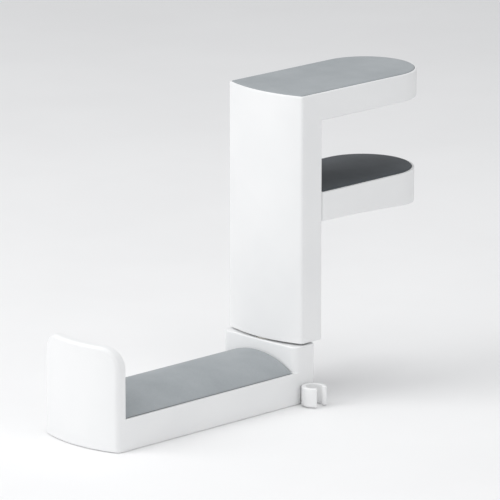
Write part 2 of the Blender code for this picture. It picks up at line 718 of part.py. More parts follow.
def swivel_stack(column, hook):
    """Friction disc between head and plate, and the bolt, washers and nut that hold the head up."""
    bore = BOLT_R + CLEARANCE

    def ring(name, radius, z0, z1, steps=24):
        made = turned(name, [(bore, z0), (radius, z0), (radius, z1), (bore, z1)], steps)
        made.data.transform(Matrix.Translation((0, AXIS_Y, 0)))
        return made

    disc_top = PLATE_BOTTOM_Z - CLEARANCE
    finish(ring("friction_disc", DISC_R, disc_top - DISC_THICKNESS, disc_top), NYLON, hook)
    washer_top = HEAD_ROOF_Z - CLEARANCE
    wave_top = washer_top - WASHER_THICKNESS - CLEARANCE
    head_top = wave_top - WASHER_THICKNESS - CLEARANCE
    finish(ring("plain_washer", WASHER_R, washer_top - WASHER_THICKNESS, washer_top), STEEL, column)
    finish(ring("wave_washer", WASHER_R - 0.4 * MM, wave_top - WASHER_THICKNESS, wave_top), STEEL, column)

    nut_bottom = PLATE_TOP_Z + CLEARANCE
    bolt_end = nut_bottom + NUT_HEIGHT + 0.6 * MM
    head_bottom = head_top - BOLT_HEAD_HEIGHT
    profile = [
        (0, head_bottom),
        (BOLT_HEAD_R - 0.4 * MM, head_bottom),
        (BOLT_HEAD_R, head_bottom + 0.4 * MM),
        (BOLT_HEAD_R, head_top),
        (BOLT_R, head_top),
        (BOLT_R, bolt_end - 0.4 * MM),
        (BOLT_R - 0.4 * MM, bolt_end),
        (0, bolt_end),
    ]
    bolt = turned("swivel_bolt", profile)
    cut(bolt, extruded("hex", circle(0, 0, 2.3 * MM, 6), head_bottom - MM, head_bottom + 1.8 * MM))
    bolt.data.transform(Matrix.Translation((0, AXIS_Y, 0)))
    finish(bolt, STEEL, column)

    nut = extruded("swivel_nut", circle(0, AXIS_Y, NUT_R, 6, start=0.5), nut_bottom, nut_bottom + NUT_HEIGHT)
    cut(nut, cylinder("thread", 0, AXIS_Y, bore, -FAR, FAR))
    finish(nut, STEEL, column)


# The hook


def tab_corner(side):
    """What is cut from the tab's upper corner to round it, as an outline in (x, z)."""
    steps = 8
    x = side * (HALF - TAB_CORNER_R)
    z = TAB_TOP_Z - TAB_CORNER_R
    arc = [
        (x + side * TAB_CORNER_R * math.sin(a), z + TAB_CORNER_R * math.cos(a))
        for a in (math.pi / 2 * i / steps for i in range(steps + 1))
    ]
    outside = side * (HALF + MM)
    return arc + [(outside, z), (outside, TAB_TOP_Z + MM), (x, TAB_TOP_Z + MM)]


def tab_face(gap=0.0):
    """The curve of the tab's inner face, gap away from it, as the -Y end of an outline wider than the hook."""
    radius = ARC_R - TAB_THICKNESS
    half = HALF + MM
    centre = TAB_CORNER_Y + ARC_R - FRONT_BULGE + gap
    xs = [half * (2 * i / ARC_STEPS - 1) for i in range(ARC_STEPS + 1)]
    return [(x, centre - math.sqrt(radius**2 - x**2)) for x in xs]


def head_face():
    """The head's flat face and its two round corners, as the +Y end of an outline wider than the hook."""
    steps = 6
    middle = HALF - HEAD_CORNER_R
    angles = [math.pi / 2 * i / steps for i in range(steps + 1)]
    corner = [
        (middle + HEAD_CORNER_R * math.cos(a), HEAD_FACE_Y + HEAD_CORNER_R * (1 - math.sin(a))) for a in angles
    ]
    side = [(HALF + MM, HEAD_FACE_Y + HEAD_CORNER_R)] + corner
    return side + [(-x, y) for x, y in reversed(side)]


def hook_shell(group):
    ends = (("bowed", TAB_CORNER_Y), ("bowed", HEAD_CORNER_Y))
    shell = extruded(
        "hook_shell", plan(*ends), BASE_Z, TAB_TOP_Z, rounding=((upright_corner, CORNER_R, 3),)
    )
    mid_y = (HEAD_FACE_Y + TAB_CORNER_Y) / 2
    above_head = box("above_head", -FAR, FAR, mid_y, FAR, HEAD_TOP_Z, FAR)
    cradle = extruded("cradle", tab_face() + head_face(), HOOK_RIM_Z, FAR)
    straight_end = [(HALF + MM, HEAD_FACE_Y - LEDGE), (-HALF - MM, HEAD_FACE_Y - LEDGE)]
    pad_seat = extruded("pad_seat", tab_face(gap=LEDGE) + straight_end, DECK_Z, HOOK_RIM_Z + MM)
    combine(pad_seat, "INTERSECT", [box("pad_width", RIM - HALF, HALF - RIM, -FAR, FAR, -FAR, FAR)])
    corners = [
        extruded("corner", tab_corner(side), TAB_CORNER_Y - 2 * FRONT_BULGE, mid_y, axis="Y") for side in (-1, 1)
    ]
    cut(shell, above_head, cradle, pad_seat, *corners)

    arm_inside = (("bowed", TAB_CORNER_Y + TAB_THICKNESS - WALL), ("bowed", HEAD_CORNER_Y))
    cut(shell, extruded("arm_hollow", plan(*arm_inside, inset=WALL), BASE_Z - MM, DECK_Z - WALL))
    head_inside = (("flat", HEAD_FACE_Y + WALL), ("bowed", HEAD_CORNER_Y))
    cut(
        shell,
        extruded("head_hollow", plan(*head_inside, inset=WALL), BASE_Z - MM, HEAD_ROOF_Z),
        cylinder("bolt_hole", 0, AXIS_Y, BOLT_R + CLEARANCE, HEAD_ROOF_Z - MM, FAR),
        cylinder(
            "disc_seat",
            0,
            AXIS_Y,
            DISC_R + CLEARANCE,
            PLATE_BOTTOM_Z - DISC_THICKNESS - 2 * CLEARANCE,
            FAR,
            24,
        ),
    )
    for y in HOOK_SCREWS_Y:
        end = BASE_Z + COVER_THICKNESS + CLEARANCE
        unite(shell, cylinder("boss", 0, y, BOSS_R, end, DECK_Z - WALL + MM / 2))
        cut(shell, cylinder("pilot", 0, y, SCREW_R + CLEARANCE, end - MM, DECK_Z - WALL - MM, 14))
    spare = CLIP_NECK / 2 + CLEARANCE
    neck_low = BASE_Z + CLIP_LIFT + MM - CLEARANCE
    neck_high = BASE_Z + CLIP_LIFT + CLIP_HEIGHT - MM + CLEARANCE
    cut(shell, box("clip_slot", HALF - 2 * WALL, HALF + MM, CLIP_Y - spare, CLIP_Y + spare, neck_low, neck_high))
    return finish(shell, WHITE, group)


def hook_base_cover(group):
    ends = (("bowed", TAB_CORNER_Y + TAB_THICKNESS - WALL), ("bowed", HEAD_CORNER_Y))
    cover = extruded("hook_base_cover", plan(*ends, inset=COVER_INSET), BASE_Z, BASE_Z + COVER_THICKNESS)
    barb = HALF - WALL - 2 * CLEARANCE - CLIP_BARB
    half = CLIP_NECK / 2 + CLIP_BARB + CLEARANCE
    cut(cover, box("barb_room", barb, FAR, CLIP_Y - half, CLIP_Y + half, BASE_Z + CLIP_LIFT, FAR))
    for i, y in enumerate(HOOK_SCREWS_Y):
        cut(cover, *screw_hole(0, y, BASE_Z, BASE_Z + COVER_THICKNESS, -1))
        add_screw(f"base_cover_screw_{'abc'[i]}", (0, y, head_seat(BASE_Z, -1)), (0, 0, -1), 6 * MM, group)
    return finish(cover, WHITE, group)


def hook_pad(group):
    """A pad crowned across its width, cut at its end to the tab's curve."""
    half = HALF - RIM - CLEARANCE
    rise = PAD_CROWN_HEIGHT - PAD_EDGE_HEIGHT
    radius = (half**2 + rise**2) / (2 * rise)
    centre = BASE_Z + PAD_CROWN_HEIGHT - radius
    steps = 14
    xs = [half * (1 - 2 * i / steps) for i in range(steps + 1)]
    crown = [(x, centre + math.sqrt(radius**2 - x**2)) for x in xs]
    bottom = DECK_Z + CLEARANCE
    outline = [(-half, bottom), (half, bottom)] + crown
    head_end = HEAD_FACE_Y - LEDGE - CLEARANCE
    pad = extruded("hook_pad", outline, TAB_CORNER_Y - FRONT_BULGE, head_end, axis="Y")
    outer = [(HALF + MM, TAB_CORNER_Y - 2 * FRONT_BULGE), (-HALF - MM, TAB_CORNER_Y - 2 * FRONT_BULGE)]
    cut(pad, extruded("tab_end", tab_face(gap=LEDGE + CLEARANCE) + outer, -FAR, FAR))
    return finish(pad, GREY_PAD, group)


def cable_clip(group):
    """An open ring on a neck that snaps through the head's side wall."""
    z0 = BASE_Z + CLIP_LIFT
    z1 = z0 + CLIP_HEIGHT
    ring = cylinder("cable_clip", CLIP_X, CLIP_Y, CLIP_R, z0, z1, 28)
    neck_half = CLIP_NECK / 2
    barb_x = HALF - WALL - CLEARANCE
    neck = box("neck", barb_x - CLIP_BARB, CLIP_X, CLIP_Y - neck_half, CLIP_Y + neck_half, z0 + MM, z1 - MM)
    barb_half = neck_half + CLIP_BARB
    barb = box("barb", barb_x - CLIP_BARB, barb_x, CLIP_Y - barb_half, CLIP_Y + barb_half, z0 + MM, z1 - MM)
    unite(ring, neck, barb)
    flare = 1.1 * MM
    reach = CLIP_R + MM
    mouth = [
        (CLIP_X, CLIP_Y - CLIP_MOUTH / 2),
        (CLIP_X + CLIP_BORE_R, CLIP_Y - CLIP_MOUTH / 2),
        (CLIP_X + reach, CLIP_Y - CLIP_MOUTH / 2 - flare),
        (CLIP_X + reach, CLIP_Y + CLIP_MOUTH / 2 + flare),
        (CLIP_X + CLIP_BORE_R, CLIP_Y + CLIP_MOUTH / 2),
        (CLIP_X, CLIP_Y + CLIP_MOUTH / 2),
    ]
    cut(ring, cylinder("bore", CLIP_X, CLIP_Y, CLIP_BORE_R, -FAR, FAR, 24), extruded("mouth", mouth, -FAR, FAR))
    return finish(ring, WHITE, group)


def main():
    clear_scene()
    column = group_at("column", (0, 0, 0))
    jaw = group_at("jaw", (0, ROD_Y, JAW_RIM_Z))
    leaf = group_at("leaf", (0, LEAF_AXIS_Y, LEAF_AXIS_Z))
    hook = group_at("hook", (0, AXIS_Y, HEAD_TOP_Z))

    column_shell(column)
    rear_cover(column)
    arm_cover(column)
    top_pad(column)
    desk_pad(column)
    guide_rods(column)
    rod_block(column)
    swivel_plate(column)
    jaw_springs(column)
    swivel_stack(column, hook)

    slide_carriage(jaw)
    jaw_shell(jaw)
    jaw_cover(jaw)
    leaf_root(jaw)
    pressure_leaf(leaf)
    jaw_pads(jaw, leaf)

    hook_shell(hook)
    hook_base_cover(hook)
    hook_pad(hook)
    cable_clip(hook)


main()
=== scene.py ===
import math

import bmesh
import bpy
from mathutils import Matrix, Vector
from mathutils.geometry import tessellate_polygon


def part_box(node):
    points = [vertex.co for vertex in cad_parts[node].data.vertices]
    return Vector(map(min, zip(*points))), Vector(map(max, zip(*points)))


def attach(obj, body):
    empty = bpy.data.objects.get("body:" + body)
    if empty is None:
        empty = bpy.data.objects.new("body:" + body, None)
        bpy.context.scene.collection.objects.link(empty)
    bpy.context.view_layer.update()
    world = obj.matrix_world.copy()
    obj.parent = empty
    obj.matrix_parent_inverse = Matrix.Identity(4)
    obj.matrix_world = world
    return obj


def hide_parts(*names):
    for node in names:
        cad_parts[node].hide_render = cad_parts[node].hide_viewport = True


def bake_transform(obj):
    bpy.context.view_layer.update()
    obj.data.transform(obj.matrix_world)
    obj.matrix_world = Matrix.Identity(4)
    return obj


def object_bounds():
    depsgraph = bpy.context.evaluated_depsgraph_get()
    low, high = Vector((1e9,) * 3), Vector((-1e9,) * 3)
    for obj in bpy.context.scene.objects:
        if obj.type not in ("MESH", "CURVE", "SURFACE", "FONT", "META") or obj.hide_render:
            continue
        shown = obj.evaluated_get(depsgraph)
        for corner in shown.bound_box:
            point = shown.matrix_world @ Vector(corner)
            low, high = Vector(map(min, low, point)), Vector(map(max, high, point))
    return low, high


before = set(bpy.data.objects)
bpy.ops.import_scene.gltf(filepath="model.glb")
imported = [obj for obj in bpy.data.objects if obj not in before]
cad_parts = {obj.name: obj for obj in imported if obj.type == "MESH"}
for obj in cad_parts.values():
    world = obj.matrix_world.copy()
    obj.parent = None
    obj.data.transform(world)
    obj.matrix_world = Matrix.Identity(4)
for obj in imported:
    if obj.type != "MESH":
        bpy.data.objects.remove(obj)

MM = 0.001
cad_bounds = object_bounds()

# ---------------------------------------------------------------- places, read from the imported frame

col_lo, col_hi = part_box("column_shell")
cover_lo, cover_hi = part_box("rear_cover")
top_lo, top_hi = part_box("top_pad")
desk_lo, desk_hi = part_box("desk_pad")
_, arm_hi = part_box("arm_cover")
jaw_lo, jaw_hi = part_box("jaw_shell")
leaf_lo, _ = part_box("pressure_leaf")
jpr_lo, jpr_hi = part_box("jaw_pad_rear")
hook_lo, hook_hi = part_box("hook_shell")
_, hcov_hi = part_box("hook_base_cover")
_, hpad_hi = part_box("hook_pad")
clip_lo, clip_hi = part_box("cable_clip")
disc_lo, disc_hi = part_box("friction_disc")
bolt_lo, bolt_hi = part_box("swivel_bolt")

HALF = col_hi.x
BULGE = 4.0 * MM
WALL = 2.0 * MM
RIM = 0.7 * MM
GAP = 0.14 * MM  # the fine line between a pad or cover and its shell
CORNER = 1.5 * MM
BOW_R = (HALF**2 + BULGE**2) / (2 * BULGE)
BACK_Y = cover_hi.y
CORNER_Y = col_lo.y + BULGE
ARM_TIP_Y = col_hi.y
HEAD_FACE_Y = col_lo.y
HEAD_CORNER_Y = hook_hi.y - BULGE
TAB_CORNER_Y = hook_lo.y + BULGE
TAB_THICK = 4.0 * MM
TAB_CORNER_R = 8.5 * MM
AXIS_Y = (bolt_lo.y + bolt_hi.y) / 2
BASE_Z = hook_lo.z
HEAD_TOP_Z = disc_hi.z - 0.5 * MM
RIM_Z = BASE_Z + 13.0 * MM
DECK_Z = RIM_Z - 1.0 * MM
TAB_TOP_Z = hook_hi.z
FAR = 0.3


# ---------------------------------------------------------------- outlines and solids

def half_end(kind, inset, corner, steps):
    """Right half of an end seen from above, from its middle out to its side, as (x, distance out from its place)."""
    half = HALF - inset
    if kind == "round":
        angles = [math.pi / 2 * i / steps for i in range(steps + 1)]
        return [(half * math.sin(a), half * math.cos(a) - HALF) for a in angles]
    radius = max(corner - inset, 0.15 * MM)
    if kind == "flat":
        angles = [math.pi / 2 * i / 6 for i in range(7)]
        middle = half - radius
        return [(middle + radius * math.sin(a), radius * math.cos(a) - radius - inset) for a in angles]
    bow = BOW_R - inset
    centre = BULGE - BOW_R
    x = half - radius
    y = centre + math.sqrt((bow - radius) ** 2 - x**2)
    limit = math.atan2(x, y - centre)
    arc = [(bow * math.sin(limit * i / steps), centre + bow * math.cos(limit * i / steps)) for i in range(steps + 1)]
    turns = [limit + (math.pi / 2 - limit) * i / 6 for i in range(1, 7)]
    return arc + [(x + radius * math.sin(a), y + radius * math.cos(a)) for a in turns]


def half_plan(low, high, inset=0.0, corner=CORNER, steps=22, stations=()):
    """Right half of a plan outline from its -Y end to its +Y end; stations are extra places in y along the side."""
    near = [(x, low[1] - v) for x, v in half_end(low[0], inset, corner, steps)]
    far = [(x, high[1] + v) for x, v in reversed(half_end(high[0], inset, corner, steps))]
    side = [(near[-1][0], min(max(y, near[-1][1]), far[0][1])) for y in stations]
    return near + side + far


def ring(half):
    """The whole outline, anticlockwise, from its right half."""
    left = [(-x, y) for x, y in reversed(half) if x > 1e-7]
    return half + left


def link(name, builder):
    bmesh.ops.recalc_face_normals(builder, faces=builder.faces)
    mesh = bpy.data.meshes.new(name)
    builder.to_mesh(mesh)
    builder.free()
    thing = bpy.data.objects.new(name, mesh)
    bpy.context.scene.collection.objects.link(thing)
    return thing


def prism(name, outline, low, high, axis="Z"):
    place = {
        "Z": lambda u, v, w: (u, v, w),
        "Y": lambda u, v, w: (u, w, v),
        "X": lambda u, v, w: (w, u, v),
    }[axis]
    b = bmesh.new()
    bottom = [b.verts.new(place(u, v, low)) for u, v in outline]
    top = [b.verts.new(place(u, v, high)) for u, v in outline]
    b.faces.new(bottom)
    b.faces.new(top)
    for i, start in enumerate(bottom):
        j = (i + 1) % len(bottom)
        b.faces.new((start, bottom[j], top[j], top[i]))
    return link(name, b)


def block(name, x0, x1, y0, y1, z0, z1):
    return prism(name, [(x0, y0), (x1, y0), (x1, y1), (x0, y1)], z0, z1)


def circle(x, y, radius, steps=48):
    return [(x + radius * math.cos(2 * math.pi * i / steps), y + radius * math.sin(2 * math.pi * i / steps))
            for i in range(steps)]


def rod(name, x, y, radius, z0, z1, steps=48):
    return prism(name, circle(x, y, radius, steps), z0, z1)


def rod_y(name, x, z, radius, y0, y1, steps=48):
    return prism(name, circle(x, z, radius, steps), y0, y1, axis="Y")


def applied(thing):
    bpy.context.view_layer.update()
    depsgraph = bpy.context.evaluated_depsgraph_get()
    made = bpy.data.meshes.new_from_object(thing.evaluated_get(depsgraph))
    old = thing.data
    thing.modifiers.clear()
    thing.data = made
    bpy.data.meshes.remove(old)
    return thing


def combine(target, operation, tools):
    for tool in tools:
        m = target.modifiers.new("b", "BOOLEAN")
        m.operation = operation
        m.object = tool
        applied(target)
        bpy.data.objects.remove(tool)
    return target


def cut(target, *tools):
    return combine(target, "DIFFERENCE", tools)


def unite(target, *tools):
    return combine(target, "UNION", tools)


def plate(name, levels):
    """A closed form from matching right-half outlines at rising heights: levels is a list of (half outline, z)."""
    b = bmesh.new()
    rows = []
    for half, z in levels:
        right = [b.verts.new((x, y, z if not callable(z) else z(x, y))) for x, y in half]
        left = [r if x < 1e-7 else b.verts.new((-x, y, z if not callable(z) else z(x, y)))
                for r, (x, y) in zip(right, half)]
        rows.append((right, left))

    def face(*corners):
        corners = list(dict.fromkeys(corners))
        if len(corners) > 2:
            b.faces.new(corners)

    for (r0, l0), (r1, l1) in zip(rows, rows[1:]):
        for i in range(len(r0) - 1):
            face(r0[i], r0[i + 1], r1[i + 1], r1[i])
            face(l0[i + 1], l0[i], l1[i], l1[i + 1])
        for end in (0, -1):
            if r0[end] is not l0[end]:
                face(r0[end], l0[end], l1[end], r1[end])
    for right, left in (rows[0], rows[-1]):
        for i in range(len(right) - 1):
            face(right[i], right[i + 1], left[i + 1], left[i])
    bmesh.ops.remove_doubles(b, verts=b.verts, dist=1e-6)
    return link(name, b)


def rounded_levels(outline, z0, z1, bottom_r, top_r, steps=4, inset=0.0):
    """Levels for plate(): an upright side between two rounded edges. outline(inset) gives the right half."""
    levels = []
    for i in range(steps):
        a = math.pi / 2 * i / steps
        levels.append((outline(inset + bottom_r * (1 - math.sin(a))), z0 + bottom_r * (1 - math.cos(a))))
    levels.append((outline(inset), z0 + bottom_r))
    for i in range(steps + 1):
        a = math.pi / 2 * i / steps
        levels.append((outline(inset + top_r * (1 - math.cos(a))), z1 - top_r * (1 - math.sin(a))))
    return levels


def soften(thing, width_at, segments=3, sharper_than=38):
    """Rounds the convex edges. width_at(middle) gives each edge's width, or 0 to leave it sharp."""
    b = bmesh.new()
    b.from_mesh(thing.data)
    bmesh.ops.remove_doubles(b, verts=b.verts, dist=2e-6)
    bmesh.ops.dissolve_limit(b, angle_limit=math.radians(0.4), verts=b.verts, edges=b.edges)
    layer = b.edges.layers.float.new("bevel_weight_edge")
    for edge in b.edges:
        if len(edge.link_faces) == 2 and edge.is_convex and edge.calc_face_angle(0) > math.radians(sharper_than):
            middle = (edge.verts[0].co + edge.verts[1].co) / 2
            edge[layer] = min(1.0, width_at(middle) / (2 * MM))
    b.to_mesh(thing.data)
    b.free()
    m = thing.modifiers.new("edges", "BEVEL")
    m.limit_method = "WEIGHT"
    m.width = 2 * MM
    m.segments = segments
    m.use_clamp_overlap = False
    m.miter_outer = "MITER_ARC"
    return applied(thing)


def sliced(thing, heights):
    """Level rows of points round a form, so that its rounded edges don't shade its long upright faces."""
    b = bmesh.new()
    b.from_mesh(thing.data)
    for z in heights:
        everything = b.verts[:] + b.edges[:] + b.faces[:]
        bmesh.ops.bisect_plane(b, geom=everything, plane_co=(0, 0, z), plane_no=(0, 0, 1), dist=1e-6)
    bmesh.ops.dissolve_degenerate(b, dist=2e-6, edges=b.edges)
    b.to_mesh(thing.data)
    b.free()


def finish(thing, body, material, slot, *nodes, smooth=40, weighted=True):
    thing.data.materials.clear()
    thing.data.materials.append(material)
    thing.data.shade_smooth()
    thing.data.set_sharp_from_angle(angle=math.radians(smooth))
    if weighted:
        m = thing.modifiers.new("normals", "WEIGHTED_NORMAL")
        m.keep_sharp = True
        m.weight = 60
    if body:
        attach(thing, body)
    if nodes:
        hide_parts(*nodes)
    return thing


# ---------------------------------------------------------------- materials

def shader(name, colour, roughness, metallic=0.0):
    m = bpy.data.materials.new(name)
    m.use_nodes = True
    tree = m.node_tree
    p = tree.nodes["Principled BSDF"]
    p.inputs["Base Color"].default_value = (*colour, 1)
    p.inputs["Roughness"].default_value = roughness
    p.inputs["Metallic"].default_value = metallic
    return m, tree, p


def add(tree, kind, **values):
    node = tree.nodes.new(kind)
    for key, value in values.items():
        if key.startswith("in_"):
            node.inputs[key[3:].replace("_", " ")].default_value = value
        else:
            setattr(node, key, value)
    return node


def noise(tree, scale, detail=3.0, rough=0.5, stretch=None, kind="ShaderNodeTexNoise"):
    coords = add(tree, "ShaderNodeTexCoord")
    vector = coords.outputs["Object"]
    if stretch:
        mapping = add(tree, "ShaderNodeMapping")
        mapping.inputs["Scale"].default_value = stretch
        tree.links.new(vector, mapping.inputs["Vector"])
        vector = mapping.outputs["Vector"]
    made = add(tree, kind)
    made.inputs["Scale"].default_value = scale
    if kind == "ShaderNodeTexNoise":
        made.inputs["Detail"].default_value = detail
        made.inputs["Roughness"].default_value = rough
    tree.links.new(vector, made.inputs["Vector"])
    return made


def ramp(tree, source, low, high, start=0.3, end=0.7):
    """Maps a value between two numbers or colours."""
    node = add(tree, "ShaderNodeValToRGB")
    node.color_ramp.elements[0].position = start
    node.color_ramp.elements[1].position = end
    for element, value in zip(node.color_ramp.elements, (low, high)):
        element.color = (*value, 1) if isinstance(value, tuple) else (value, value, value, 1)
    tree.links.new(source, node.inputs["Fac"])
    return node.outputs["Color"]


def bump(tree, layers):
    """Stacks (source, strength, distance) bumps and returns the last normal."""
    normal = None
    for source, strength, distance in layers:
        node = add(tree, "ShaderNodeBump")
        node.inputs["Strength"].default_value = strength
        node.inputs["Distance"].default_value = distance
        tree.links.new(source, node.inputs["Height"])
        if normal:
            tree.links.new(normal, node.inputs["Normal"])
        normal = node.outputs["Normal"]
    return normal


def white_plastic():
    m, tree, p = shader("white_moulded", (0.86, 0.865, 0.865), 0.36)
    broad = noise(tree, 38, 2)
    tint = ramp(tree, broad.outputs["Fac"], (0.845, 0.85, 0.852), (0.875, 0.878, 0.878))
    tree.links.new(tint, p.inputs["Base Color"])
    mid = noise(tree, 900, 3, 0.6)
    tree.links.new(ramp(tree, mid.outputs["Fac"], 0.33, 0.43), p.inputs["Roughness"])
    spark = noise(tree, 5200, 2, 0.5)
    flow = noise(tree, 70, 1)
    tree.links.new(
        bump(tree, [(flow.outputs["Fac"], 0.1, 0.00012), (spark.outputs["Fac"], 0.12, 0.00003)]), p.inputs["Normal"]
    )
    p.inputs["IOR"].default_value = 1.5
    p.inputs["Specular IOR Level"].default_value = 0.45
    return m


def pad(name, dark, light, roughness, sheen):
    """Soft silicone foam: a closed skin with fine pores and a faint, uneven bloom."""
    m, tree, p = shader(name, light, roughness)
    broad = noise(tree, 55, 4, 0.6)
    fine = noise(tree, 3600, 3, 0.6)
    mix = add(tree, "ShaderNodeMath", operation="MULTIPLY_ADD")
    mix.inputs[1].default_value = 0.55
    tree.links.new(fine.outputs["Fac"], mix.inputs[0])
    share = add(tree, "ShaderNodeMath", operation="MULTIPLY")
    share.inputs[1].default_value = 0.45
    tree.links.new(broad.outputs["Fac"], share.inputs[0])
    tree.links.new(share.outputs[0], mix.inputs[2])
    tree.links.new(ramp(tree, mix.outputs[0], dark, light, 0.36, 0.64), p.inputs["Base Color"])
    tree.links.new(ramp(tree, fine.outputs["Fac"], roughness - 0.07, roughness + 0.08), p.inputs["Roughness"])
    pores = noise(tree, 2600, kind="ShaderNodeTexVoronoi")
    tree.links.new(
        bump(tree, [(pores.outputs["Distance"], 0.35, 0.00004), (fine.outputs["Fac"], 0.3, 0.00005)]),
        p.inputs["Normal"],
    )
    p.inputs["Sheen Weight"].default_value = sheen
    p.inputs["Sheen Roughness"].default_value = 0.5
    p.inputs["Specular IOR Level"].default_value = 0.3
    return m


def metal(name, dark, light, roughness, stretch):
    """Zinc-plated or brushed metal with fine drawing marks."""
    m, tree, p = shader(name, light, roughness, 1.0)
    marks = noise(tree, 900, 4, 0.6, stretch)
    blotch = noise(tree, 260, 3)
    tree.links.new(ramp(tree, blotch.outputs["Fac"], dark, light), p.inputs["Base Color"])
    tree.links.new(ramp(tree, marks.outputs["Fac"], roughness - 0.08, roughness + 0.1), p.inputs["Roughness"])
    tree.links.new(bump(tree, [(marks.outputs["Fac"], 0.15, 0.00002)]), p.inputs["Normal"])
    return m


def cast():
    m, tree, p = shader("die_cast_alloy", (0.52, 0.52, 0.54), 0.48, 1.0)
    grain = noise(tree, 1400, 4, 0.7)
    tree.links.new(ramp(tree, grain.outputs["Fac"], (0.44, 0.44, 0.46), (0.58, 0.58, 0.6)), p.inputs["Base Color"])
    tree.links.new(ramp(tree, grain.outputs["Fac"], 0.4, 0.58), p.inputs["Roughness"])
    tree.links.new(bump(tree, [(grain.outputs["Fac"], 0.4, 0.00006)]), p.inputs["Normal"])
    return m


def plain_plastic(name, colour, roughness):
    m, tree, p = shader(name, colour, roughness)
    grain = noise(tree, 2400, 3, 0.6)
    lighter = tuple(min(1.0, c * 1.15 + 0.005) for c in colour)
    tree.links.new(ramp(tree, grain.outputs["Fac"], colour, lighter), p.inputs["Base Color"])
    tree.links.new(ramp(tree, grain.outputs["Fac"], roughness - 0.05, roughness + 0.07), p.inputs["Roughness"])
    tree.links.new(bump(tree, [(grain.outputs["Fac"], 0.25, 0.00004)]), p.inputs["Normal"])
    return m


WHITE = white_plastic()
GREY = pad("pad_blue_grey", (0.285, 0.31, 0.325), (0.37, 0.395, 0.41), 0.62, 0.12)
DARK = pad("pad_dark_grey", (0.06, 0.07, 0.078), (0.095, 0.107, 0.118), 0.7, 0.08)
STEEL = metal("zinc_plated_steel", (0.5, 0.5, 0.5), (0.66, 0.66, 0.66), 0.3, (1, 1, 12))
ALLOY = cast()
BLACK = plain_plastic("black_acetal", (0.03, 0.03, 0.034), 0.42)
NYLON = plain_plastic("natural_nylon", (0.72, 0.7, 0.64), 0.45)


# ---------------------------------------------------------------- column and arm

column_ends = (("bowed", CORNER_Y), ("round", ARM_TIP_Y))


def column_outline(inset=0.0, **more):
    return half_plan(*column_ends, inset=inset, **more)


shell = prism("column_body", ring(column_outline()), col_lo.z, col_hi.z)
pad_floor = top_lo.z - 0.1 * MM
lip_z = desk_hi.z - 0.3 * MM
cut(shell, block("under_arm", -FAR, FAR, BACK_Y, FAR, -FAR, lip_z))
soften(shell, lambda middle: 0.4 * MM)
sliced(shell, [col_lo.z + 0.8 * MM, lip_z + 0.8 * MM, col_hi.z - 0.8 * MM])
cut(
    shell,
    prism("hollow", ring(column_outline(WALL)), col_lo.z - 2 * MM, pad_floor - WALL),
    prism("pad_seat", ring(column_outline(RIM)), pad_floor, FAR),
)
screws_y = [(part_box(n)[0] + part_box(n)[1]) / 2 for n in ("rear_cover_screw_a", "rear_cover_screw_b")]
for c in screws_y:
    unite(shell, rod_y("boss", 0, c.z, 2.6 * MM, col_lo.y + WALL / 2, cover_lo.y - 0.3 * MM))
    cut(shell, rod_y("pilot", 0, c.z, 1.55 * MM, col_lo.y + 1.5 * WALL, cover_lo.y))
screws_arm = [(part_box(n)[0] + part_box(n)[1]) / 2 for n in ("arm_cover_screw_a", "arm_cover_screw_b")]
for c in screws_arm:
    unite(shell, rod("boss", 0, c.y, 2.6 * MM, arm_hi.z + 0.3 * MM, pad_floor - WALL / 2))
    cut(shell, rod("pilot", 0, c.y, 1.55 * MM, 0, pad_floor - WALL))
finish(shell, "column", WHITE, "white_plastic", "column_shell")

# Top pad: a thin sheet of soft silicone, its edge rolled down to the rim and its face a little crowned
top_face = top_hi.z
stations = [BACK_Y + 2 * MM + 3 * MM * i for i in range(24)]


def top_outline(inset):
    return half_plan(*column_ends, inset=inset, corner=CORNER, steps=22, stations=stations)


seat = RIM + GAP
levels = rounded_levels(top_outline, pad_floor + 0.05 * MM, top_face - 0.12 * MM, 0.1 * MM, 0.42 * MM, inset=seat)
for i in range(1, 9):
    share = i / 8
    levels.append((top_outline(seat + 0.42 * MM + 14 * MM * share), top_face - 0.12 * MM * (1 - share) ** 2))
top_pad = plate("top_pad_soft", levels)
finish(top_pad, "column", GREY, "pad_grey", "top_pad", weighted=False)

# Desk pad under the arm
desk_inset = HALF - desk_hi.x - 0.12 * MM
desk_ends = (("flat", desk_lo.y - desk_inset), ("round", ARM_TIP_Y))


def desk_outline(inset):
    return half_plan(*desk_ends, inset=inset, corner=CORNER + 1 * MM, steps=22, stations=stations)


levels = rounded_levels(desk_outline, desk_lo.z, desk_hi.z, 0.3 * MM, 0.1 * MM, inset=desk_inset)
desk_pad = plate("desk_pad_soft", levels)
finish(desk_pad, "column", DARK, "pad_dark", "desk_pad", weighted=False)

# ---------------------------------------------------------------- jaw

jaw_ends = (("flat", jaw_lo.y), ("round", jaw_hi.y))
JAW_DIP = 3.0 * MM
jaw_base = jaw_lo.z + JAW_DIP
jaw_rim = jaw_hi.z
leaf_floor = leaf_lo.z - 0.3 * MM
tongue_top = leaf_floor - 2.5 * MM
tongue_low = jaw_base + 1.8 * MM
leaf_rim = 0.9 * MM
stations = [jaw_lo.y + 2 * MM + 1.1 * MM * i for i in range(38)]


def jaw_outline(inset=0.0):
    return half_plan(*jaw_ends, inset=inset, corner=1.2 * MM, stations=stations)


def jaw_under(y):
    """Height of the jaw's underside, level at the column and curving down to its tip."""
    along = (y - jaw_lo.y) / (jaw_hi.y - jaw_lo.y)
    return jaw_base - JAW_DIP * along**2


def raised(lift):
    return lambda x, y: jaw_under(y) + lift


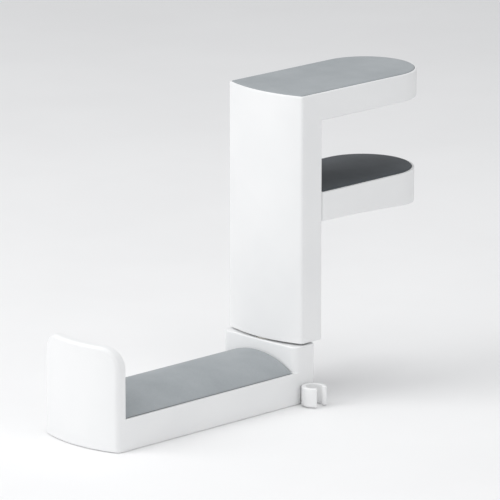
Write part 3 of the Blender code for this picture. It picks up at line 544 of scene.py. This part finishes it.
levels = []
for i in range(5):
    a = math.pi / 2 * i / 4
    levels.append((jaw_outline(0.45 * MM * (1 - math.sin(a))), raised(0.45 * MM * (1 - math.cos(a)))))
for i in range(5):
    a = math.pi / 2 * i / 4
    levels.append((jaw_outline(0.3 * MM * (1 - math.cos(a))), jaw_rim - 0.3 * MM * (1 - math.sin(a))))
jaw = plate("jaw_body", levels)
cut(
    jaw,
    prism("hollow", ring(half_plan(*jaw_ends, inset=WALL)), -FAR, tongue_top + 0.3 * MM),
    prism("leaf_seat", ring(half_plan(*jaw_ends, inset=leaf_rim)), leaf_floor, FAR),
    block("window", -8.3 * MM, 8.3 * MM, BACK_Y, jaw_lo.y + 2 * WALL, tongue_low, tongue_top + 0.3 * MM),
)
for node in ("jaw_cover_screw_a", "jaw_cover_screw_b"):
    lo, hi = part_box(node)
    y = (lo.y + hi.y) / 2
    unite(jaw, rod("boss", 0, y, 2.6 * MM, jaw_under(y - 2.6 * MM) + 2.1 * MM, leaf_floor - 1 * MM))
    cut(jaw, rod("pilot", 0, y, 1.55 * MM, -FAR, leaf_floor - 1.5 * MM))
for node in ("tongue_screw_a", "tongue_screw_b"):
    lo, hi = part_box(node)
    y = (lo.y + hi.y) / 2
    cut(
        jaw,
        rod("hole", 0, y, 1.55 * MM, -0.04, leaf_floor + 1 * MM),
        rod("recess", 0, y, 2.4 * MM, leaf_floor - 1.5 * MM, -0.02),
    )
finish(jaw, "jaw", WHITE, "white_plastic", "jaw_shell")

# The leaf and its pad, each one sheet between the jaw and its sprung half, built in place and attached to no body
stations = [jaw_lo.y + 3 * MM + 0.9 * MM * i for i in range(46)]


def leaf_outline(inset):
    return half_plan(*jaw_ends, inset=inset, corner=2.6 * MM, steps=22, stations=stations)


leaf_inset = leaf_rim + GAP
levels = rounded_levels(leaf_outline, leaf_lo.z, jpr_lo.z + 0.02 * MM, 0.25 * MM, 0.1 * MM, inset=leaf_inset)
leaf = plate("sprung_leaf", levels)
finish(leaf, None, WHITE, "white_plastic", "pressure_leaf", "leaf_root", weighted=False)
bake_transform(leaf)

levels = rounded_levels(
    leaf_outline, jpr_lo.z + 0.04 * MM, jpr_hi.z - 0.1 * MM, 0.08 * MM, 0.5 * MM, inset=leaf_inset + 0.1 * MM
)
jaw_pad = plate("jaw_pad_soft", levels)
finish(jaw_pad, None, DARK, "pad_dark", "jaw_pad_front", "jaw_pad_rear", weighted=False)
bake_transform(jaw_pad)

# ---------------------------------------------------------------- hook



def tab_arc(gap=0.0, steps=56):
    radius = BOW_R - TAB_THICK
    half = HALF + 1 * MM
    centre = TAB_CORNER_Y + BOW_R - BULGE + gap
    xs = [half * (2 * i / steps - 1) for i in range(steps + 1)]
    return [(x, centre - math.sqrt(radius**2 - x**2)) for x in xs]


def head_face(radius=3.0 * MM):
    middle = HALF - radius
    angles = [math.pi / 2 * i / 12 for i in range(13)]
    corner = [(middle + radius * math.cos(a), HEAD_FACE_Y + radius * (1 - math.sin(a))) for a in angles]
    side = [(HALF + 1 * MM, HEAD_FACE_Y + radius)] + corner
    return side + [(-x, y) for x, y in reversed(side)]


def tab_form(outer_r=1.5 * MM, inner_r=0.6 * MM, steps=5):
    """The upright end tab down to the base: a plate of even thickness, rounded all round, bent to the hook's bow."""

    def outline(inset):
        half, top, radius = HALF - inset, TAB_TOP_Z - inset, TAB_CORNER_R - inset
        angles = [math.pi / 2 * i / 18 for i in range(19)]
        right = [(half - radius + radius * math.cos(a), top - radius + radius * math.sin(a)) for a in angles]
        foot = BASE_Z + 0.3 * inset
        return [(-half, foot), (half, foot)] + right + [(-x, z) for x, z in reversed(right)]

    turns = [math.pi / 2 * i / steps for i in range(steps + 1)]
    rows = [(outline(outer_r * (1 - math.sin(a))), outer_r * (1 - math.cos(a))) for a in turns]
    rows += [(outline(inner_r * (1 - math.cos(a))), TAB_THICK - inner_r * (1 - math.sin(a))) for a in turns]
    b = bmesh.new()
    made = [[b.verts.new((x, y, z)) for x, z in points] for points, y in rows]
    for low, high in zip(made, made[1:]):
        for i in range(len(low)):
            j = (i + 1) % len(low)
            b.faces.new((low[i], low[j], high[j], high[i]))
    b.faces.new(made[0])
    b.faces.new(made[-1])
    for k in range(-20, 21):
        everything = b.verts[:] + b.edges[:] + b.faces[:]
        bmesh.ops.bisect_plane(b, geom=everything, plane_co=(k * MM, 0, 0), plane_no=(1, 0, 0), dist=1e-6)
    centre = TAB_CORNER_Y + BOW_R - BULGE
    for v in b.verts:
        share = v.co.y / TAB_THICK
        outer = centre - math.sqrt(BOW_R**2 - v.co.x**2)
        inner = centre - math.sqrt((BOW_R - TAB_THICK) ** 2 - v.co.x**2)
        v.co.y = (1 - share) * outer + share * inner
    return link("tab", b)


body_ends = (("bowed", TAB_CORNER_Y + 1 * MM), ("bowed", HEAD_CORNER_Y))
hook = prism("hook_body", ring(half_plan(*body_ends)), BASE_Z, TAB_TOP_Z)
mid_y = (HEAD_FACE_Y + TAB_CORNER_Y) / 2
seat_end = [(HALF + 1 * MM, HEAD_FACE_Y - 0.1 * MM), (-HALF - 1 * MM, HEAD_FACE_Y - 0.1 * MM)]
pad_seat = prism("pad_seat", tab_arc(gap=0.1 * MM) + seat_end, DECK_Z, RIM_Z + 1 * MM)
combine(pad_seat, "INTERSECT", [block("w", RIM - HALF, HALF - RIM, -FAR, FAR, -FAR, FAR)])
arm_inside = (("bowed", TAB_CORNER_Y + TAB_THICK - WALL), ("bowed", HEAD_CORNER_Y))
head_inside = (("flat", HEAD_FACE_Y), ("bowed", HEAD_CORNER_Y))
neck = 2.3 * MM
clip_y = (clip_lo.y + clip_hi.y) / 2
cut(
    hook,
    block("above_head", -FAR, FAR, mid_y, FAR, HEAD_TOP_Z, FAR),
    prism("cradle", [(-HALF - 1 * MM, -FAR), (HALF + 1 * MM, -FAR)] + head_face(), RIM_Z, FAR),
    pad_seat,
    prism("hollow", ring(half_plan(*arm_inside, inset=WALL)), BASE_Z - 1 * MM, DECK_Z - WALL),
    prism("head_hollow", ring(half_plan(*head_inside, inset=WALL)), BASE_Z - 1 * MM, HEAD_TOP_Z - 3 * MM),
    block(
        "clip_slot", HALF - 2 * WALL, HALF + 1 * MM, clip_y - neck, clip_y + neck,
        clip_lo.z + 0.7 * MM, clip_hi.z - 0.7 * MM,
    ),
)


def outside(middle):
    """Whether a point lies on the hook's outer outline and not on the lip round its base cover."""
    reach = math.sqrt(BOW_R**2 - middle.x**2) - BOW_R + BULGE
    ends = middle.y < TAB_CORNER_Y - reach + 1 * MM or middle.y > HEAD_CORNER_Y + reach - 1 * MM
    return ends or abs(middle.x) > HALF - 1 * MM


def hook_edge(middle):
    """The rim round the pad is only broken, the head's top and the base are rounded, and the tab has its own shape."""
    if middle.z < BASE_Z + 0.1 * MM:
        return 0.45 * MM if outside(middle) else 0
    if abs(middle.z - RIM_Z) < 0.1 * MM:
        return 0.24 * MM if middle.y < HEAD_FACE_Y - 0.3 * MM else 0
    return 0.5 * MM if abs(middle.z - HEAD_TOP_Z) < 0.1 * MM and middle.y > mid_y else 0


unite(hook, tab_form())
soften(hook, hook_edge)
sliced(hook, [RIM_Z - 0.6 * MM, BASE_Z + 0.8 * MM, HEAD_TOP_Z - 0.8 * MM])
cut(
    hook,
    rod("bolt_hole", 0, AXIS_Y, 2.3 * MM, HEAD_TOP_Z - 5 * MM, FAR),
    rod("disc_seat", 0, AXIS_Y, disc_hi.x + 0.3 * MM, disc_lo.z - 0.3 * MM, FAR),
)
for node in ("base_cover_screw_a", "base_cover_screw_b", "base_cover_screw_c"):
    lo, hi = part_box(node)
    y = (lo.y + hi.y) / 2
    unite(hook, rod("boss", 0, y, 2.6 * MM, hcov_hi.z + 0.3 * MM, DECK_Z - WALL / 2))
    cut(hook, rod("pilot", 0, y, 1.55 * MM, hcov_hi.z, DECK_Z - WALL - 1 * MM))
finish(hook, "hook", WHITE, "white_plastic", "hook_shell")


# Hook pad: one piece of moulded foam, crowned across the hook, its ends and long edges turned down
def build_hook_pad():
    half = HALF - RIM - GAP
    edge_z = RIM_Z + 0.35 * MM
    crown = hpad_hi.z
    rise = crown - edge_z
    radius = (half**2 + rise**2) / (2 * rise)
    centre = crown - radius
    arc_centre = TAB_CORNER_Y + BOW_R - BULGE + 0.3 * MM
    arc_r = BOW_R - TAB_THICK
    head_end = HEAD_FACE_Y - 0.3 * MM
    nx, ny = 72, 150
    turn = 1.3 * MM
    floor = DECK_Z + 0.05 * MM
    b = bmesh.new()
    grid = []
    # stations bunch up towards the edges, where the surface turns down
    us = [math.sin(math.pi / 2 * (2 * i / nx - 1)) for i in range(nx + 1)]
    vs = [(math.sin(math.pi / 2 * (2 * j / ny - 1)) + 1) / 2 for j in range(ny + 1)]
    for u in us:
        x = half * u
        start = arc_centre - math.sqrt(arc_r**2 - x**2)
        column = []
        for v in vs:
            y = start + (head_end - start) * v
            z = centre + math.sqrt(radius**2 - x**2)
            for d, r in ((y - start, turn), (head_end - y, turn), (half - abs(x), 0.35 * MM)):
                if d < r:
                    z -= r - math.sqrt(max(0.0, r**2 - (r - d) ** 2))
            column.append(b.verts.new((x, y, max(z, floor + 0.3 * MM))))
        grid.append(column)
    for i in range(nx):
        for j in range(ny):
            b.faces.new((grid[i][j], grid[i + 1][j], grid[i + 1][j + 1], grid[i][j + 1]))
    edge = [grid[i][0] for i in range(nx + 1)] + [grid[nx][j] for j in range(1, ny + 1)]
    edge += [grid[i][ny] for i in range(nx - 1, -1, -1)] + [grid[0][j] for j in range(ny - 1, 0, -1)]
    low = [b.verts.new((v.co.x, v.co.y, floor)) for v in edge]
    for i, v in enumerate(edge):
        j = (i + 1) % len(edge)
        b.faces.new((v, edge[j], low[j], low[i]))
    b.faces.new(low)
    return link("hook_pad_soft", b)


hook_pad = build_hook_pad()
finish(hook_pad, "hook", GREY, "pad_grey", "hook_pad", weighted=False, smooth=60)

# Cable clip: an open ring with a flared mouth, on a short neck
clip_r = (clip_hi.y - clip_lo.y) / 2
clip_x = HALF + 5.3 * MM
bore = 3.3 * MM
mouth, flare = math.asin(1.5 * MM / bore), math.asin(2.5 * MM / clip_r)


def arc(x, y, radius, start, end, steps):
    angles = [start + (end - start) * i / steps for i in range(steps + 1)]
    return [(x + radius * math.cos(a), y + radius * math.sin(a)) for a in angles]


def turned_in(outline, amount):
    """The outline moved inwards, each point along the middle of its two sides' normals."""
    moved = []
    for i, (x, y) in enumerate(outline):
        here = Vector((x, y))
        before = (here - Vector(outline[i - 1])).normalized()
        after = (Vector(outline[(i + 1) % len(outline)]) - here).normalized()
        inward = (Vector((-before.y, before.x)) + Vector((-after.y, after.x))).normalized()
        moved.append(here + inward * amount / max(0.5, inward.dot(Vector((-after.y, after.x)))))
    return [tuple(v) for v in moved]


def open_ring():
    lips = 0.5 * MM
    full = 2 * math.pi
    outline = arc(clip_x, clip_y, clip_r, flare + 0.06, full - flare - 0.06, 80)
    inner = arc(clip_x, clip_y, bore, full - mouth - 0.05, mouth + 0.05, 64)
    for start, end, side in ((outline[-1], inner[0], -1), (inner[-1], outline[0], 1)):
        middle = ((start[0] + end[0]) / 2, (start[1] + end[1]) / 2)
        outwards = (lips, -0.2 * lips * side)
        bulge = [
            (
                (1 - t) ** 2 * start[0] + 2 * t * (1 - t) * (middle[0] + outwards[0]) + t**2 * end[0],
                (1 - t) ** 2 * start[1] + 2 * t * (1 - t) * (middle[1] + outwards[1]) + t**2 * end[1],
            )
            for t in (k / 8 for k in range(1, 8))
        ]
        if side < 0:
            outline += bulge + inner
        else:
            outline += bulge
    r = 0.35 * MM
    rows = []
    for i in range(5):
        a = math.pi / 2 * i / 4
        rows.append((turned_in(outline, r * (1 - math.sin(a))), clip_lo.z + r * (1 - math.cos(a))))
    for i in range(5):
        a = math.pi / 2 * i / 4
        rows.append((turned_in(outline, r * (1 - math.cos(a))), clip_hi.z - r * (1 - math.sin(a))))
    b = bmesh.new()
    made = [[b.verts.new((x, y, z)) for x, y in points] for points, z in rows]
    for low, high in zip(made, made[1:]):
        for i in range(len(low)):
            j = (i + 1) % len(low)
            b.faces.new((low[i], low[j], high[j], high[i]))
    for row in (made[0], made[-1]):
        corners = [v.co for v in row]
        for triangle in tessellate_polygon([corners]):
            b.faces.new([row[i] for i in triangle])
    return link("cable_clip_ring", b)


clip = open_ring()
clip_bottom, clip_top = clip_lo.z + 1 * MM, clip_hi.z - 1 * MM
unite(
    clip,
    block("neck", clip_lo.x, clip_x - bore - 0.5 * MM, clip_y - 2 * MM, clip_y + 2 * MM, clip_bottom, clip_top),
    block("barb", clip_lo.x, clip_lo.x + 1 * MM, clip_y - 3 * MM, clip_y + 3 * MM, clip_bottom, clip_top),
)
finish(clip, "hook", WHITE, "white_plastic", "cable_clip")

# ---------------------------------------------------------------- covers, screws and the mechanism


def dress(node, material, width=0.15 * MM, limit=40):
    """A CAD piece that keeps its shape: real material, smooth round faces and slightly broken edges."""
    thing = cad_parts[node]
    thing.data.materials.clear()
    thing.data.materials.append(material)
    thing.data.shade_smooth()
    weld = thing.modifiers.new("weld", "WELD")
    weld.merge_threshold = 0.000002
    if width:
        m = thing.modifiers.new("edges", "BEVEL")
        m.limit_method = "ANGLE"
        m.angle_limit = math.radians(limit)
        m.width = width
        m.segments = 2
    split = thing.modifiers.new("sharp", "EDGE_SPLIT")
    split.split_angle = math.radians(limit)
    return thing


for node in ("rear_cover", "arm_cover", "jaw_cover", "hook_base_cover"):
    dress(node, WHITE, 0.2 * MM)
for node in ("slide_carriage", "swivel_plate"):
    dress(node, ALLOY, 0.2 * MM)
STEEL_NODES = (
    "guide_rod_left", "guide_rod_right", "wave_washer", "plain_washer", "swivel_bolt", "swivel_nut",
    "swivel_plate_screw_left", "swivel_plate_screw_right", "tongue_screw_a", "tongue_screw_b",
)
for node in STEEL_NODES:
    dress(node, STEEL, 0)
dress("rod_block", BLACK, 0.2 * MM)
dress("friction_disc", NYLON, 0)


def fine_screw(node, out, body):
    """A pan-head screw with a cross recess, in the place of its CAD node. Its head faces along out."""
    lo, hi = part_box(node)
    out = Vector(out)
    size = hi - lo
    length = max(size)
    head_r = min(size) / 2
    head_h = 1.1 * MM
    r = 1.2 * MM
    profile = [(0, 0), (0.6 * r, 0), (r, r)]
    turns = int((length - head_h - r) / (0.8 * MM))
    for i in range(turns):
        z = r + 0.8 * MM * i
        profile += [(r, z + 0.1 * MM), (r * 0.8, z + 0.35 * MM), (r * 0.8, z + 0.5 * MM), (r, z + 0.75 * MM)]
    profile += [(r, length - head_h), (head_r - 0.1 * MM, length - head_h), (head_r, length - head_h + 0.1 * MM)]
    for i in range(7):
        a = math.pi / 2 * i / 6
        profile.append((head_r * (0.62 + 0.38 * math.cos(a)), length - head_h * 0.55 * (1 - math.sin(a))))
    profile.append((0, length))
    b = bmesh.new()
    rings = []
    for radius, z in profile:
        if radius == 0:
            rings.append([b.verts.new((0, 0, z))] * 40)
        else:
            rings.append([b.verts.new((u, v, z)) for u, v in circle(0, 0, radius, 40)])
    for a, c in zip(rings, rings[1:]):
        for i in range(40):
            j = (i + 1) % 40
            corners = list(dict.fromkeys((a[i], a[j], c[j], c[i])))
            if len(corners) > 2:
                b.faces.new(corners)
    screw = link(node + "_fine", b)
    arm, blade = head_r * 0.62, 0.28 * MM
    top = length + 1 * MM
    cut(
        screw,
        block("x", -arm, arm, -blade, blade, length - 0.75 * MM, top),
        block("y", -blade, blade, -arm, arm, length - 0.75 * MM, top),
    )
    turn = Vector((0, 0, 1)).rotation_difference(out).to_matrix().to_4x4()
    tip = (lo + hi) / 2 - out * (length / 2)
    screw.data.transform(Matrix.Translation(tip) @ turn)
    return finish(screw, body, STEEL, "steel", node, smooth=35, weighted=False)


for name in ("a", "b"):
    fine_screw(f"rear_cover_screw_{name}", (0, 1, 0), "column")
    fine_screw(f"arm_cover_screw_{name}", (0, 0, -1), "column")
    fine_screw(f"jaw_cover_screw_{name}", (0, 0, -1), "jaw")
for name in ("a", "b", "c"):
    fine_screw(f"base_cover_screw_{name}", (0, 0, -1), "hook")

def coil(node):
    """A compression spring with close-wound ends, built where it stands and attached to no body."""
    lo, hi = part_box(node)
    x, y = (lo.x + hi.x) / 2, (lo.y + hi.y) / 2
    wire, sides, turns, steps = 0.35 * MM, 10, 12, 30
    radius = (hi.x - lo.x) / 2 - wire
    rises = []
    for i in range(turns * steps):
        from_end = min(i, turns * steps - i) / steps
        rises.append(0.75 * MM + (2.6 * MM if from_end > 2 else 2.6 * MM * max(0.0, from_end - 1)))
    scale = (hi.z - lo.z - 2 * wire) / (sum(rises) / steps)
    b = bmesh.new()
    rows = []
    z = lo.z + wire
    for i in range(turns * steps + 1):
        a = 2 * math.pi * i / steps
        out = Vector((math.cos(a), math.sin(a), 0))
        place = Vector((x, y, z)) + out * radius
        row = []
        for k in range(sides):
            c = 2 * math.pi * k / sides
            row.append(b.verts.new(place + out * wire * math.cos(c) + Vector((0, 0, wire * math.sin(c)))))
        rows.append(row)
        if i < turns * steps:
            z += rises[i] / steps * scale
    for r0, r1 in zip(rows, rows[1:]):
        for k in range(sides):
            j = (k + 1) % sides
            b.faces.new((r0[k], r0[j], r1[j], r1[k]))
    b.faces.new(rows[0])
    b.faces.new(rows[-1])
    spring = finish(link(node + "_fine", b), None, STEEL, "steel", node, smooth=50, weighted=False)
    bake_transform(spring)


coil("jaw_spring_left")
coil("jaw_spring_right")

# ---------------------------------------------------------------- floor, light and camera


def stage_floor():
    b = bmesh.new()
    b.faces.new([b.verts.new((u, v, BASE_Z - 0.05 * MM)) for u, v in circle(0, 0, 5.0, 96)])
    floor = link("studio_floor", b)
    m, tree, p = shader("studio_floor_paint", (0.9, 0.9, 0.9), 0.8)
    grain = noise(tree, 14, 3)
    tint = ramp(tree, grain.outputs["Fac"], (0.885, 0.885, 0.885), (0.905, 0.905, 0.905))
    tree.links.new(tint, p.inputs["Base Color"])
    p.inputs["Specular IOR Level"].default_value = 0.1
    floor.data.materials.append(m)


stage_floor()

world = bpy.data.worlds.new("studio")
bpy.context.scene.world = world
world.use_nodes = True
world.node_tree.nodes["Background"].inputs["Color"].default_value = (0.97, 0.98, 1.0, 1)
world.node_tree.nodes["Background"].inputs["Strength"].default_value = 0.5


def area(name, place, target, size, power, colour=(1, 1, 1)):
    data = bpy.data.lights.new(name, "AREA")
    data.shape = "RECTANGLE"
    data.size = size[0]
    data.size_y = size[1]
    data.energy = power
    data.color = colour
    light = bpy.data.objects.new(name, data)
    bpy.context.scene.collection.objects.link(light)
    light.location = place
    light.rotation_euler = (Vector(target) - Vector(place)).to_track_quat("-Z", "Y").to_euler()


centre = (cad_bounds[0] + cad_bounds[1]) / 2
area("key", centre + Vector((-0.55, -0.95, 0.75)), centre, (0.9, 0.9), 8.2)
area("top", centre + Vector((0.1, -0.1, 1.1)), centre, (1.0, 1.0), 4.8)
area("side", centre + Vector((1.1, -0.35, 0.25)), centre, (0.8, 1.0), 2.4)

azimuth, elevation, distance = math.radians(45.3), math.radians(14.35), 2.162
back = Vector((
    math.sin(azimuth) * math.cos(elevation),
    -math.cos(azimuth) * math.cos(elevation),
    math.sin(elevation),
))
LENS = 395
SENSOR_WIDTH = 36
data = bpy.data.cameras.new("camera")
data.lens = LENS
data.sensor_width = SENSOR_WIDTH
data.clip_start = 0.01
data.clip_end = 50
camera = bpy.data.objects.new("camera", data)
bpy.context.scene.collection.objects.link(camera)
target = centre
camera.location = target + back * distance
camera.rotation_euler = (-back).to_track_quat("-Z", "Y").to_euler()
bpy.context.scene.camera = camera
bpy.context.scene.view_settings.view_transform = "Standard"
